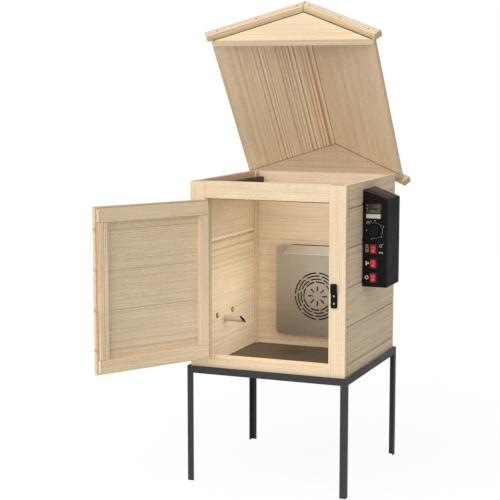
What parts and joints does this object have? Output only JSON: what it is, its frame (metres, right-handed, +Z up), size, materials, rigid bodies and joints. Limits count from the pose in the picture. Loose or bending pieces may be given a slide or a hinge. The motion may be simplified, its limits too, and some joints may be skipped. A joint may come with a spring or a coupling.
{
  "type": "electric cabinet smoker",
  "caption": "Wooden smoking cabinet on an angle-steel stand, with an open side-hinged door, a tipped gabled lid, a control box, a heater with a fan and a smoke canister.",
  "frame": {"origin": "centre of the stand's footprint on the floor", "axes": "+Z up, -Y towards the person at the door, +X to that person's right"},
  "size_m": [0.7484, 1.0814, 1.5264],
  "materials": {
    "pine": "planed, unpainted",
    "anthracite_paint": "satin powder coat",
    "black_paint": "fine powder coat",
    "stainless": "cold rolled",
    "zinc_steel": "zinc plated",
    "black_plastic": "moulded",
    "red_plastic": "moulded, gloss",
    "grey_plastic": "moulded",
    "dark_lens": "smoked window"
  },
  "bodies": {
    "cabinet": {"back_hinge_leaves": "zinc_steel", "cable_gland": "black_plastic", "control_box": "black_paint", "controller_case": "black_plastic", "controller_lens": "dark_lens", "corner_posts": "pine", "dial_body": "black_plastic", "door_hinge_pins": "zinc_steel", "fan_cover": "stainless", "floor_plate": "stainless", "frame_hinge_leaves": "zinc_steel", "hanging_rails": "anthracite_paint", "heater_ring": "stainless", "hinge_batten": "pine", "latch_keeper": "black_paint", "leg_front_left": "anthracite_paint", "leg_front_right": "anthracite_paint", "leg_rear_left": "anthracite_paint", "leg_rear_right": "anthracite_paint", "lid_hinge_pins": "zinc_steel", "motor_body": "zinc_steel", "motor_cover": "stainless", "rocker_frames": "black_plastic", "sill_rail": "pine", "smoke_bolts": "stainless", "smoke_canister": "stainless", "stand_ring": "anthracite_paint", "stile_left": "pine", "stile_right": "pine", "stop_rails": "pine", "temperature_probe": "stainless", "top_rail": "pine", "wall_boards_left": "pine", "wall_boards_rear": "pine", "wall_boards_right": "pine"},
    "door": {"door_boards": "pine", "door_rails": "pine", "door_stiles": "pine", "door_handle": "black_paint", "door_hinge_leaves": "zinc_steel", "latch_pivot_plate": "black_paint"},
    "latch": {"latch_bar": "black_paint"},
    "lid": {"roof_boards_left": "pine", "roof_boards_right": "pine", "gable_front": "pine", "gable_rear": "pine", "bargeboards": "pine", "lid_hinge_leaves": "zinc_steel"},
    "dial": {"dial_knob": "black_plastic", "dial_shaft": "stainless"},
    "heater_switch": {"rocker_heater": "red_plastic"},
    "fan_switch": {"rocker_fan": "red_plastic"},
    "smoke_switch": {"rocker_smoke": "red_plastic"},
    "set_key": {"key_set": "grey_plastic"},
    "shift_key": {"key_shift": "grey_plastic"},
    "down_key": {"key_down": "grey_plastic"},
    "up_key": {"key_up": "grey_plastic"},
    "fan": {"fan_impeller": "stainless"},
    "cap": {"smoke_cap": "stainless"},
    "cup": {"ash_cup": "stainless"}
  },
  "joints": [
    {"name": "door_hinge", "type": "hinge", "parent": "cabinet", "child": "door", "pos_m": [-0.2055, -0.267, 0.656], "axis": [0, 0, 1], "range_deg": [-60, 120]},
    {"name": "latch_pivot", "type": "hinge", "parent": "door", "child": "latch", "pos_m": [-0.36948, -0.55742, 0.6453], "axis": [0.866, -0.5, 0], "range_deg": [-10, 90]},
    {"name": "lid_hinge", "type": "hinge", "parent": "cabinet", "child": "lid", "pos_m": [0, 0.274, 0.9462], "axis": [-1, 0, 0], "range_deg": [-53.3, 41.7]},
    {"name": "dial_turn", "type": "hinge", "parent": "cabinet", "child": "dial", "pos_m": [0.296, -0.103, 0.8103], "axis": [0, 1, 0], "range_deg": [0, 290]},
    {"name": "heater_switch_rock", "type": "hinge", "parent": "cabinet", "child": "heater_switch", "pos_m": [0.2927, -0.09423, 0.7528], "axis": [-1, 0, 0], "range_deg": [0, 18]},
    {"name": "fan_switch_rock", "type": "hinge", "parent": "cabinet", "child": "fan_switch", "pos_m": [0.2927, -0.09423, 0.7074], "axis": [-1, 0, 0], "range_deg": [0, 18]},
    {"name": "smoke_switch_rock", "type": "hinge", "parent": "cabinet", "child": "smoke_switch", "pos_m": [0.2927, -0.09423, 0.6626], "axis": [-1, 0, 0], "range_deg": [0, 18]},
    {"name": "set_key_press", "type": "slide", "parent": "cabinet", "child": "set_key", "axis": [0, 1, 0], "range_m": [0, 0.0006], "stiffness_N_per_m": 600, "springref_m": -0.0008},
    {"name": "shift_key_press", "type": "slide", "parent": "cabinet", "child": "shift_key", "axis": [0, 1, 0], "range_m": [0, 0.0006], "stiffness_N_per_m": 600, "springref_m": -0.0008},
    {"name": "down_key_press", "type": "slide", "parent": "cabinet", "child": "down_key", "axis": [0, 1, 0], "range_m": [0, 0.0006], "stiffness_N_per_m": 600, "springref_m": -0.0008},
    {"name": "up_key_press", "type": "slide", "parent": "cabinet", "child": "up_key", "axis": [0, 1, 0], "range_m": [0, 0.0006], "stiffness_N_per_m": 600, "springref_m": -0.0008},
    {"name": "fan_spin", "type": "hinge", "parent": "cabinet", "child": "fan", "pos_m": [0, 0.245, 0.5389], "axis": [0, 1, 0], "continuous": true},
    {"name": "cap_lift", "type": "slide", "parent": "cabinet", "child": "cap", "axis": [0, 0, 1], "range_m": [0, 0.06]},
    {"name": "cup_drop", "type": "slide", "parent": "cabinet", "child": "cup", "axis": [0, 0, -1], "range_m": [0, 0.05]}
  ]
}
